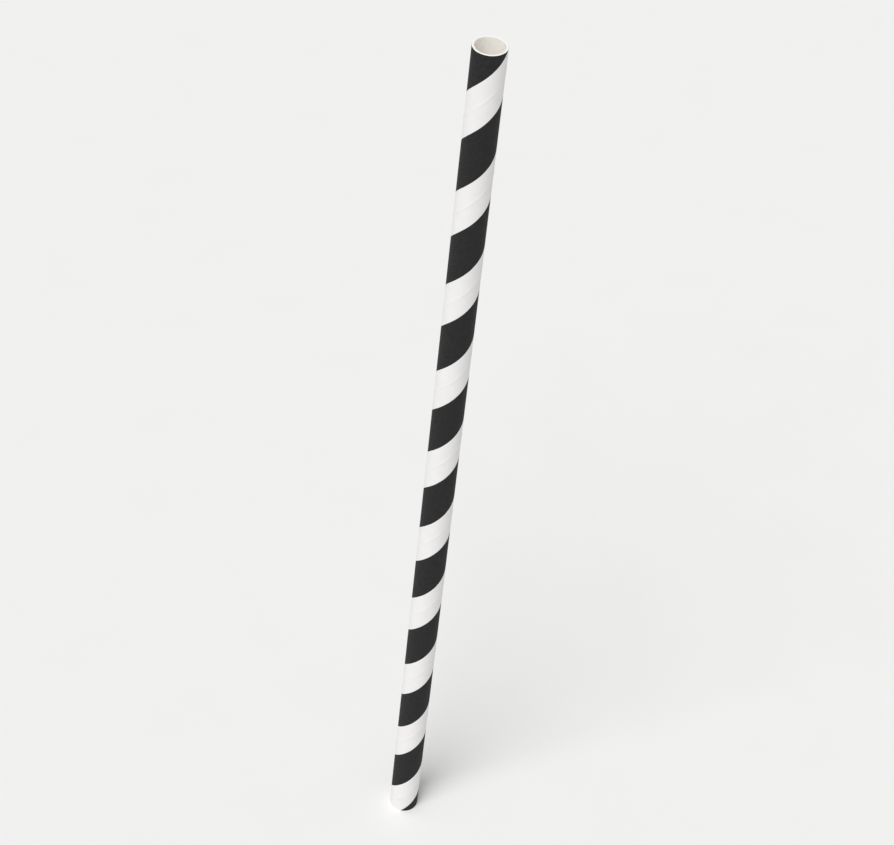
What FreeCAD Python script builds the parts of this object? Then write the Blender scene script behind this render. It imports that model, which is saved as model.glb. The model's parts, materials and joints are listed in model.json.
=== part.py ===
# A paper drinking straw: one tube of wound, glued paper with a spiral stripe, standing on its cut foot.
# Its axis is Z, its open rim is at the top, and its front faces -Y. The origin is on the floor, under
# the middle of the foot. Sizes are in mm.
import FreeCAD, Part
import math
import os

from FreeCAD import Vector

# Driving dimensions
outer_diameter = 6.0
wall = 0.4
length = 197.0
# Angle at which the outermost paper strip climbs round the tube, in degrees
winding_angle = 47.1
# Share of the strip's width that is printed black
black_share = 0.53
# How far below the rim its black band ends, along the front
rim_black = 4.35
# Softening that the cutting knife leaves on the paper's edges at both ends
cut_softening = 0.08

# Derived sizes
outer_radius = outer_diameter / 2
bore_radius = outer_radius - wall
# A strip wound edge to edge moves on by one lead each turn
lead = math.pi * outer_diameter * math.tan(math.radians(winding_angle))
white_length = (1 - black_share) * lead


def paper_tube():
    """The wall and its bore, cut square at both ends, with the cut edges softened."""
    tube = Part.makeCylinder(outer_radius, length).cut(Part.makeCylinder(bore_radius, length))
    rings = [edge for edge in tube.Edges if edge.Closed]
    return tube.makeChamfer(cut_softening, rings)


def winding_line(below_rim):
    """Right-handed helix on the outer wall that crosses the front this far below the rim."""
    turns_below = math.ceil((length - below_rim) / lead) + 1
    turns_above = math.ceil(below_rim / lead) + 1
    line = Part.makeHelix(lead, (turns_below + turns_above) * lead, outer_radius)
    # A helix starts on +X, and the front is -Y
    line.rotate(Vector(0, 0, 0), Vector(0, 0, 1), -90)
    line.translate(Vector(0, 0, length - below_rim - turns_below * lead))
    reach = 2 * outer_diameter
    between_ends = Part.makeBox(reach, reach, length, Vector(-reach / 2, -reach / 2, 0))
    return line.common(between_ends)


def straw_tube():
    """The whole straw. The black band, and the white band on each side of the seam, are own faces."""
    # The strip's edges meet in the middle of the white band
    lines = [
        winding_line(rim_black),
        winding_line(rim_black + white_length / 2),
        winding_line(rim_black + white_length),
    ]
    split_walls = paper_tube().generalFuse(lines)[0]
    return split_walls.Solids[0]


os.makedirs("parts", exist_ok=True)
straw_tube().exportStep("parts/straw_tube.step")
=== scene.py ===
# %% [markdown]
# # A paper drinking straw
#
# A paper straw is strips of paper, wound in a spiral and glued into a thin tube. The outermost strip is
# printed with one wide black band, so the winding turns that band into a stripe that climbs the straw.
# This lesson models the straw as it is made: one strip's width, wound along a helix. The engineering
# model gives the sizes, and the first step loads it.

# %% Load the frame
import json
import math

import bmesh
import bpy
from mathutils import Matrix, Vector, noise


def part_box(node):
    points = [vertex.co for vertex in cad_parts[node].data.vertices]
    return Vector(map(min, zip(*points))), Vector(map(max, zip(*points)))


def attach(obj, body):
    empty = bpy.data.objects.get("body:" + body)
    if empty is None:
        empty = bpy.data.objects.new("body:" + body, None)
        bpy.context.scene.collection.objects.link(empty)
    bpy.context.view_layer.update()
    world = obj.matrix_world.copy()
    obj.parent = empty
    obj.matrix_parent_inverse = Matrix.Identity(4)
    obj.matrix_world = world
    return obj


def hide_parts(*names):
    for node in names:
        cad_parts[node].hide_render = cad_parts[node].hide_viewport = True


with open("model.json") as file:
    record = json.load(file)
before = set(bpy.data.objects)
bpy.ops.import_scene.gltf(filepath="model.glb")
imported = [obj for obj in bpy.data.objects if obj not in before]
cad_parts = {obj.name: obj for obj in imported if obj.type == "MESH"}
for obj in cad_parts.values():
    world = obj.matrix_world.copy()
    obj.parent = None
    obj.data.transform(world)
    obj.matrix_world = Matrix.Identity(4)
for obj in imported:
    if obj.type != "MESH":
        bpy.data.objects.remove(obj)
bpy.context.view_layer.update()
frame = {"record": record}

MM = 0.001

# %% [markdown]
# ## Sizes
#
# Sizes that the engineering model measures are read from it: the bore, the outside and the length. The
# way the strip is wound isn't stored there as numbers, so it is written here once, and the rest follows.
# One turn moves the strip on by one lead, which is the girth times the tangent of the winding angle.

# %% Sizes of the tube and of the winding
mounts = {mount["name"]: mount for mount in frame["record"]["mounts"]}
outer_radius = mounts["outside"]["dims"]["r_mm"] * MM
bore_radius = mounts["bore"]["dims"]["r_mm"] * MM
foot_z, rim_z = (corner.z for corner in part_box("straw_tube"))
length = rim_z - foot_z
middle_z = (foot_z + rim_z) / 2

winding_angle = math.radians(47.1)
black_share = 0.53
rim_black = 4.35 * MM
# The strip's two edges press up a low ridge where they meet, in the middle of the white band
ridge_width = 1.2 * MM
ridge_height = 0.04 * MM

lead = 2 * math.pi * outer_radius * math.tan(winding_angle)
white_length = (1 - black_share) * lead
# Where the strip's edges meet along the front, measured down from the rim. The front faces -Y. Two
# turns are wound above the rim, and cut off later.
turns_before = 2
first_seam = rim_black + white_length / 2 - turns_before * lead
turns = math.ceil((length - first_seam) / lead)
print("lead, mm:", round(lead / MM, 2), "turns:", turns)

# %% [markdown]
# ## The winding
#
# On the machine a flat strip runs onto a steel rod at an angle, and each turn's edge meets the last.
# A cylinder with a painted stripe would give the look but not the seam. So the model starts from one
# line of vertices across the strip, from edge to edge, and spins it round the axis while it slides
# along: the screw motion of the winding itself. Every edge of the mesh then follows the strip.

# %% One line across the strip
def strip_line(mesh):
    """Vertices across the strip, down the front of the straw, from seam to seam."""
    half_ridge = ridge_width / 2
    half_white = white_length / 2
    stations = [0, half_ridge, half_white, lead - half_white, lead - half_ridge, lead]
    line = [mesh.verts.new((0, -outer_radius, rim_z - first_seam - station)) for station in stations]
    spans = [mesh.edges.new(pair) for pair in zip(line, line[1:])]
    for span in spans:
        on_ridge = span in (spans[0], spans[-1])
        finest = 0.12 * MM if on_ridge else 0.8 * MM
        cuts = math.ceil(span.calc_length() / finest) - 1
        bmesh.ops.subdivide_edges(mesh, edges=[span], cuts=cuts)
    # The meeting edges press up a low rounded ridge, higher by a cosine towards the seam
    for vert in mesh.verts:
        across = rim_z - first_seam - vert.co.z
        from_seam = min(across, lead - across)
        if from_seam < half_ridge:
            vert.co.y -= ridge_height * (1 + math.cos(math.pi * from_seam / half_ridge)) / 2


# %% Wind the strip
steps_per_turn = 72


def wound_wall():
    """The strip wound edge to edge and welded along its seam, open at both ends."""
    mesh = bmesh.new()
    strip_line(mesh)
    bmesh.ops.spin(
        mesh,
        geom=mesh.verts[:] + mesh.edges[:],
        cent=(0, 0, 0),
        axis=(0, 0, -1),
        dvec=(0, 0, -lead / steps_per_turn),
        angle=2 * math.pi,
        steps=steps_per_turn,
        use_merge=False,
    )
    turn = mesh.verts[:] + mesh.edges[:] + mesh.faces[:]
    for count in range(1, turns):
        copied = bmesh.ops.duplicate(mesh, geom=turn)["geom"]
        moved = [item for item in copied if isinstance(item, bmesh.types.BMVert)]
        bmesh.ops.translate(mesh, verts=moved, vec=(0, 0, -lead * count))
    bmesh.ops.remove_doubles(mesh, verts=mesh.verts[:], dist=0.02 * MM)
    return mesh


straw_mesh = wound_wall()
print("wound faces:", len(straw_mesh.faces))

# %% [markdown]
# ## The cut ends and the wall's thickness
#
# A rotary knife cuts the endless tube to length, so plane cuts do the same here. A few more cuts close
# to each end leave rings, from which the lip is rounded, because cut paper is soft at its edge. Solidify
# gives the wound sheet its wall, and the vertices inside are set on the bore's true radius.

# %% Cut the tube to length
lip = 0.09 * MM
lip_rings = [3 * lip, lip, 0.55 * lip, 0.2 * lip, 0]


def cut_ends(mesh):
    """Cuts both ends square, with the rings near each end that the lip is shaped from."""
    for depth in lip_rings:
        for end_z, outward in ((rim_z, 1), (foot_z, -1)):
            bmesh.ops.bisect_plane(
                mesh,
                geom=mesh.verts[:] + mesh.edges[:] + mesh.faces[:],
                dist=0.002 * MM,
                plane_co=(0, 0, end_z - outward * depth),
                plane_no=(0, 0, outward),
                clear_outer=depth == 0,
            )


cut_ends(straw_mesh)
print("cut faces:", len(straw_mesh.faces))

# %% Give the wall its thickness
wall = outer_radius - bore_radius
middle_radius = (outer_radius + bore_radius) / 2


def radius_of(point):
    """Distance from the straw's axis."""
    return math.hypot(point.x, point.y)


def set_radius(vert, radius):
    """Moves a vertex straight out from, or in to, the straw's axis."""
    vert.co.xy *= radius / radius_of(vert.co)


def depth_of(point):
    """Distance from the nearer end of the straw."""
    return min(rim_z - point.z, point.z - foot_z)


def crosses_wall(edge):
    """True for an edge that runs from the outer wall to the bore."""
    first, second = (radius_of(vert.co) > middle_radius for vert in edge.verts)
    return first != second


def faces_the_axis(face):
    """True for a face of the wound sheet that looks inwards."""
    centre = face.calc_center_median()
    return face.normal.x * centre.x + face.normal.y * centre.y < 0


def thicken(mesh):
    """Adds the bore wall and the rings of cut paper, then rounds both lips."""
    # An open tube has no inside of its own, so the sheet is turned to look away from the axis
    bmesh.ops.recalc_face_normals(mesh, faces=mesh.faces[:])
    inward = [face for face in mesh.faces if faces_the_axis(face)]
    bmesh.ops.reverse_faces(mesh, faces=inward)
    bmesh.ops.solidify(mesh, geom=mesh.faces[:], thickness=wall)
    across = [edge for edge in mesh.edges if crosses_wall(edge)]
    for vert in mesh.verts:
        if radius_of(vert.co) < middle_radius:
            set_radius(vert, bore_radius)
        # Solidify slides the bore's end ring a little where it follows the ridge's slope
        vert.co.z = min(max(vert.co.z, foot_z), rim_z)
    for vert in mesh.verts:
        depth = depth_of(vert.co)
        if depth < lip:
            drawn_in = lip - math.sqrt(lip ** 2 - (lip - depth) ** 2)
            radius = radius_of(vert.co)
            set_radius(vert, radius + (drawn_in if radius < middle_radius else -drawn_in))
    bmesh.ops.subdivide_edges(mesh, edges=across, cuts=3, use_grid_fill=True)


thicken(straw_mesh)
open_edges = sum(not edge.is_manifold for edge in straw_mesh.edges)
print("faces:", len(straw_mesh.faces), "open edges:", open_edges)
print("paper, mm3:", round(straw_mesh.calc_volume(signed=True) / MM ** 3, 1))

# %% [markdown]
# ## The paper laid flat
#
# Print and paper fibres follow the strip, not the world. So the wound wall gets a UV map of the paper as
# it was before winding: across is the distance round the wall, counted on from turn to turn, and down
# is the distance from the rim, both in metres. Nothing stretches, because a tube unrolls flat.

# %% Unroll the winding into a UV map
paper_map = "unrolled_paper"


def angle_of(point):
    """Angle round the axis from the front, in the direction that the strip is wound."""
    return math.atan2(-point.x, -point.y)


def unroll(mesh):
    """Writes where each corner of each face lay on the flat paper."""
    layer = mesh.loops.layers.uv.new(paper_map)
    for face in mesh.faces:
        centre = face.calc_center_median()
        angle = angle_of(centre)
        from_first_seam = rim_z - centre.z - first_seam
        turn = math.floor(from_first_seam / lead - angle / (2 * math.pi))
        for loop in face.loops:
            step = math.remainder(angle_of(loop.vert.co) - angle, 2 * math.pi)
            wound = angle + step + 2 * math.pi * turn
            loop[layer].uv = (outer_radius * wound, rim_z - loop.vert.co.z)


unroll(straw_mesh)

# %% [markdown]
# ## Three surfaces and an uneven cut
#
# One strip of paper shows three surfaces: print outside, bare paper in the bore, and cut fibres at both
# ends. Each face is told which it is by where it lies. Then the cut rings are moved a little, in a
# smooth random pattern, because a knife pulls at the last fibres and its cut is never quite even.

# %% Tell the printed wall, the bore and the cut paper apart
PRINTED, BORE, CUT = range(3)


def finish_of(face):
    """Which of the three paper surfaces a face belongs to."""
    centre = face.calc_center_median()
    radius = radius_of(centre)
    if depth_of(centre) < 0.4 * lip or bore_radius + lip < radius < outer_radius - lip:
        return CUT
    return PRINTED if radius > middle_radius else BORE


for face in straw_mesh.faces:
    face.material_index = finish_of(face)
    face.smooth = True

# %% Fray the cut ends
# How far the knife tears the cut rings down the straw, and out of round
torn_down = 0.03 * MM
torn_round = 0.02 * MM


def fray_lips(mesh):
    """Lets the cut rings wander a little, because a knife tears the last fibres."""
    for vert in mesh.verts:
        if depth_of(vert.co) < lip:
            inward = 1 if vert.co.z < middle_z else -1
            vert.co.z += inward * torn_down * abs(noise.noise(vert.co / (0.7 * MM)))
            wander = noise.noise(vert.co / (0.9 * MM))
            set_radius(vert, radius_of(vert.co) + torn_round * wander)


fray_lips(straw_mesh)

# %% Make it an object
straw_data = bpy.data.meshes.new("wound_paper_straw")
straw_mesh.to_mesh(straw_data)
straw_mesh.free()
straw = bpy.data.objects.new("wound_paper_straw", straw_data)
bpy.context.collection.objects.link(straw)
print("triangles:", sum(len(polygon.vertices) - 2 for polygon in straw_data.polygons))

# %% [markdown]
# ## Materials
#
# Two small helpers come first. Colours are written as sRGB hex values, as a designer reads them, and one
# function turns them to the linear light that the renderer works in. The other adds a node, and takes
# plain values and links for its inputs alike.

# %% Colour and node helpers
def linear(hex_colour):
    """sRGB hex colour to linear RGBA."""
    parts = [int(hex_colour[i:i + 2], 16) / 255 for i in (1, 3, 5)]
    return (*[c / 12.92 if c <= 0.04045 else ((c + 0.055) / 1.055) ** 2.4 for c in parts], 1)


def add_node(tree, kind, inputs, **settings):
    """Adds a node, sets its options, and sets or links its inputs."""
    made = tree.nodes.new(kind)
    for name, value in settings.items():
        setattr(made, name, value)
    for name, value in inputs.items():
        if isinstance(value, bpy.types.NodeSocket):
            tree.links.new(value, made.inputs[name])
        else:
            made.inputs[name].default_value = value
    return made


def new_material(name):
    """A new node material, and its tree, emptied to be filled."""
    material = bpy.data.materials.new(name)
    material.use_nodes = True
    material.node_tree.nodes.clear()
    return material, material.node_tree


# %% [markdown]
# ### Printed paper
#
# The outermost strip is uncoated white kraft paper, printed with a water-based black ink. Paper is a felt
# of fibres that lie mostly along the strip. It looks matte, with a faint cloudiness where the felt is
# thicker. The ink fills the surface, so the black is smoother and has a broad satin highlight, and its
# border wanders a little along the fibres. All of it reads the unrolled map, so it winds with the strip.

# %% Printed kraft paper
def strip_fibres(tree, flat):
    """Fibres along the strip, about 0.16 mm by 1.3 mm. Real ones are a fifth as wide, too fine to show."""
    along_strip = add_node(tree, "ShaderNodeMapping", {
        "Vector": flat, "Rotation": (0, 0, -winding_angle),
    })
    stretched = add_node(tree, "ShaderNodeVectorMath", {
        0: along_strip.outputs[0], 1: (0.12, 1, 1),
    }, operation="MULTIPLY")
    return add_node(tree, "ShaderNodeTexNoise", {
        "Vector": stretched.outputs[0], "Scale": 1 / (0.16 * MM), "Detail": 3, "Roughness": 0.6,
    }, noise_dimensions="2D").outputs["Fac"]


def felt_clouds(tree, flat):
    """Thicker and thinner patches of the felt, a few millimetres across."""
    return add_node(tree, "ShaderNodeTexNoise", {
        "Vector": flat, "Scale": 1 / (2.5 * MM), "Detail": 2, "Roughness": 0.5,
    }, noise_dimensions="2D").outputs["Fac"]


def black_band(tree, flat, fibres):
    """1 on the printed band and 0 on bare paper, worked out from the distance to the band's middle."""
    parts = add_node(tree, "ShaderNodeSeparateXYZ", {0: flat})
    climb = add_node(tree, "ShaderNodeMath", {
        0: parts.outputs[0], 1: math.tan(winding_angle),
    }, operation="MULTIPLY")
    across = add_node(tree, "ShaderNodeMath", {
        0: parts.outputs[1], 1: climb.outputs[0],
    }, operation="SUBTRACT")
    band_middle = first_seam + lead / 2
    from_middle = add_node(tree, "ShaderNodeMath", {
        0: across.outputs[0], 1: band_middle,
    }, operation="SUBTRACT")
    distance = add_node(tree, "ShaderNodeMath", {0: from_middle.outputs[0]}, operation="ABSOLUTE")
    # The ink creeps in and out by about 0.05 mm along the fibres
    creep = 0.05 * MM
    crept = add_node(tree, "ShaderNodeMath", {
        0: fibres, 1: 2 * creep, 2: distance.outputs[0],
    }, operation="MULTIPLY_ADD")
    border = black_share * lead / 2 + creep
    soft_edge = 0.04 * MM
    return add_node(tree, "ShaderNodeMapRange", {
        "Value": crept.outputs[0], "From Min": border - soft_edge, "From Max": border + soft_edge,
        "To Min": 1, "To Max": 0,
    }, interpolation_type="SMOOTHSTEP").outputs[0]


def printed_kraft_paper():
    """Matte white paper under one satin black band."""
    material, tree = new_material("printed_kraft_paper")
    flat = add_node(tree, "ShaderNodeUVMap", {}, uv_map=paper_map).outputs[0]
    fibres = strip_fibres(tree, flat)
    clouds = felt_clouds(tree, flat)
    ink = black_band(tree, flat, fibres)
    white = add_node(tree, "ShaderNodeMix", {
        "Factor": clouds, "A": linear("#eeebe9"), "B": linear("#f1f1f1"),
    }, data_type="RGBA")
    speckled = add_node(tree, "ShaderNodeMapRange", {
        "Value": fibres, "From Min": 0.35, "From Max": 0.75, "To Min": 0, "To Max": 1,
    })
    black = add_node(tree, "ShaderNodeMix", {
        "Factor": speckled.outputs[0], "A": linear("#222223"), "B": linear("#2e2e2f"),
    }, data_type="RGBA")
    colour = add_node(tree, "ShaderNodeMix", {
        "Factor": ink, "A": white.outputs["Result"], "B": black.outputs["Result"],
    }, data_type="RGBA")
    # Bare paper is dull, and the ink fills its pores
    smoothed = add_node(tree, "ShaderNodeMapRange", {"Value": ink, "To Min": 0.82, "To Max": 0.7})
    dull = add_node(tree, "ShaderNodeMath", {
        0: clouds, 1: 0.08, 2: smoothed.outputs[0],
    }, operation="MULTIPLY_ADD")
    relief = add_node(tree, "ShaderNodeBump", {
        "Height": fibres, "Strength": 0.35, "Distance": 0.012 * MM,
    })
    shader = add_node(tree, "ShaderNodeBsdfPrincipled", {
        "Base Color": colour.outputs["Result"], "Roughness": dull.outputs[0], "IOR": 1.5,
        "Specular IOR Level": 0.15, "Normal": relief.outputs[0],
    })
    add_node(tree, "ShaderNodeOutputMaterial", {"Surface": shader.outputs[0]})
    return material


# %% [markdown]
# ### Bare paper inside, and cut paper at the rim
#
# The inner strip is kraft paper without print. It looks warm and bright, because light in the bore
# bounces from wall to wall, and some of it comes through the thin paper from outside. So this finish
# lets light scatter under its surface. The knife leaves the rim as torn-off fibre ends: whiter than
# the face of the paper, quite rough, and without any sheen.

# %% Bare and cut kraft paper
def bare_kraft_paper():
    """Warm unprinted paper that glows a little, as a thin wall does with light behind it."""
    material, tree = new_material("bare_kraft_paper")
    flat = add_node(tree, "ShaderNodeUVMap", {}, uv_map=paper_map).outputs[0]
    fibres = strip_fibres(tree, flat)
    clouds = felt_clouds(tree, flat)
    colour = add_node(tree, "ShaderNodeMix", {
        "Factor": clouds, "A": linear("#fcf4ea"), "B": linear("#fef8f0"),
    }, data_type="RGBA")
    relief = add_node(tree, "ShaderNodeBump", {
        "Height": fibres, "Strength": 0.4, "Distance": 0.015 * MM,
    })
    # Light gets about a millimetre into paper, which is more than this wall's thickness
    shader = add_node(tree, "ShaderNodeBsdfPrincipled", {
        "Base Color": colour.outputs["Result"], "Roughness": 0.88, "IOR": 1.5,
        "Normal": relief.outputs[0], "Subsurface Weight": 0.9,
        "Subsurface Radius": (1, 0.95, 0.85), "Subsurface Scale": 1.2 * MM,
    })
    add_node(tree, "ShaderNodeOutputMaterial", {"Surface": shader.outputs[0]})
    return material


def cut_kraft_paper():
    """White fibre ends, rough and without sheen."""
    material, tree = new_material("cut_kraft_paper")
    place = add_node(tree, "ShaderNodeTexCoord", {}).outputs["Object"]
    # Fibre ends, drawn 0.1 mm wide so that they show
    ends = add_node(tree, "ShaderNodeTexNoise", {
        "Vector": place, "Scale": 1 / (0.1 * MM), "Detail": 3, "Roughness": 0.65,
    }).outputs["Fac"]
    colour = add_node(tree, "ShaderNodeMix", {
        "Factor": ends, "A": linear("#f7f5f0"), "B": linear("#fefdfa"),
    }, data_type="RGBA")
    relief = add_node(tree, "ShaderNodeBump", {
        "Height": ends, "Strength": 0.5, "Distance": 0.03 * MM,
    })
    shader = add_node(tree, "ShaderNodeBsdfPrincipled", {
        "Base Color": colour.outputs["Result"], "Roughness": 0.95, "IOR": 1.5,
        "Normal": relief.outputs[0],
    })
    add_node(tree, "ShaderNodeOutputMaterial", {"Surface": shader.outputs[0]})
    return material


for finish in (printed_kraft_paper(), bare_kraft_paper(), cut_kraft_paper()):
    straw_data.materials.append(finish)
print("finishes:", [finish.name for finish in straw_data.materials])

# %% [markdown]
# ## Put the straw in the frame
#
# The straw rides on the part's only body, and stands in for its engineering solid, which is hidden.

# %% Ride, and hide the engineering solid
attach(straw, "root")
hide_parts("straw_tube")

# %% [markdown]
# ## Floor, light and camera
#
# The straw stands on its cut foot on a pale floor. One broad, far lamp like a window stands high on the
# front left, so the floor is lit evenly as far as it reaches. The rest of the light comes from all
# round, so the right side falls off gently, and each colour renders about as it is written.

# %% Pale floor
def matte_painted_board():
    """The floor's finish: pale and dull, with a grain too faint to see except close by."""
    material, tree = new_material("matte_painted_board")
    place = add_node(tree, "ShaderNodeTexCoord", {}).outputs["Object"]
    grain = add_node(tree, "ShaderNodeTexNoise", {"Vector": place, "Scale": 1 / (20 * MM), "Detail": 2})
    colour = add_node(tree, "ShaderNodeMix", {
        "Factor": grain.outputs["Fac"], "A": linear("#f2f2f1"), "B": linear("#f5f5f4"),
    }, data_type="RGBA")
    shader = add_node(tree, "ShaderNodeBsdfDiffuse", {"Color": colour.outputs["Result"]})
    add_node(tree, "ShaderNodeOutputMaterial", {"Surface": shader.outputs[0]})
    return material


# Half the floor's side, in metres
floor_reach = 3
floor_mesh = bmesh.new()
bmesh.ops.create_grid(floor_mesh, x_segments=1, y_segments=1, size=floor_reach)
floor_data = bpy.data.meshes.new("floor")
floor_mesh.to_mesh(floor_data)
floor_mesh.free()
floor_data.materials.append(matte_painted_board())
floor = bpy.data.objects.new("floor", floor_data)
bpy.context.collection.objects.link(floor)

# %% Light from all round
scene = bpy.context.scene
world = bpy.data.worlds.new("studio")
world.use_nodes = True
studio = world.node_tree
studio.nodes.clear()
# Whatever looks straight at the studio, or mirrors it, sees plain white. Its light is weaker.
light_around = 0.45
path = add_node(studio, "ShaderNodeLightPath", {})
seen_or_mirrored = add_node(studio, "ShaderNodeMath", {
    0: path.outputs["Is Camera Ray"], 1: path.outputs["Is Glossy Ray"],
}, operation="MAXIMUM")
seen = add_node(studio, "ShaderNodeMath", {
    0: seen_or_mirrored.outputs[0], 1: path.outputs["Is Transmission Ray"],
}, operation="MAXIMUM")
strength = add_node(studio, "ShaderNodeMapRange", {
    "Value": seen.outputs[0], "To Min": light_around, "To Max": 1,
})
backdrop = add_node(studio, "ShaderNodeBackground", {
    "Color": linear("#ffffff"), "Strength": strength.outputs[0],
})
add_node(studio, "ShaderNodeOutputWorld", {"Surface": backdrop.outputs[0]})
scene.world = world

# %% Light from the window
# A sun lamp stands in for the far window, and its wide disc makes the shadow soft
to_window = Vector((-0.38, -0.62, 1.05)).normalized()
window_data = bpy.data.lights.new("window", "SUN")
window_data.angle = math.radians(34)
window_data.energy = 2.0
window = bpy.data.objects.new("window", window_data)
window.location = to_window
window.rotation_euler = (-to_window).to_track_quat("-Z", "Y").to_euler()
scene.collection.objects.link(window)
print("lamp height, degrees:", round(math.degrees(math.asin(to_window.z)), 1))

# %% [markdown]
# The lens looks down past the rim from above the front, at the height and distance at which the rim's
# ellipse and the drawing-together of the stripes come out as they should. A slight roll of the camera
# makes the straw lean, and a lens of 87 mm takes in the whole straw.

# %% Camera
camera_place = Vector((0, -294.8, 387.4)) * MM
look_at = Vector((0, 0, 114.5)) * MM
camera_roll = math.radians(6.56)

camera_data = bpy.data.cameras.new("camera")
camera_data.sensor_width = 36
camera_data.lens = 87.3
camera = bpy.data.objects.new("camera", camera_data)
camera.location = camera_place
level = (look_at - camera_place).to_track_quat("-Z", "Y").to_matrix().to_4x4()
camera.rotation_euler = (level @ Matrix.Rotation(camera_roll, 4, "Z")).to_euler()
scene.collection.objects.link(camera)
scene.camera = camera
scene.view_settings.view_transform = "Standard"
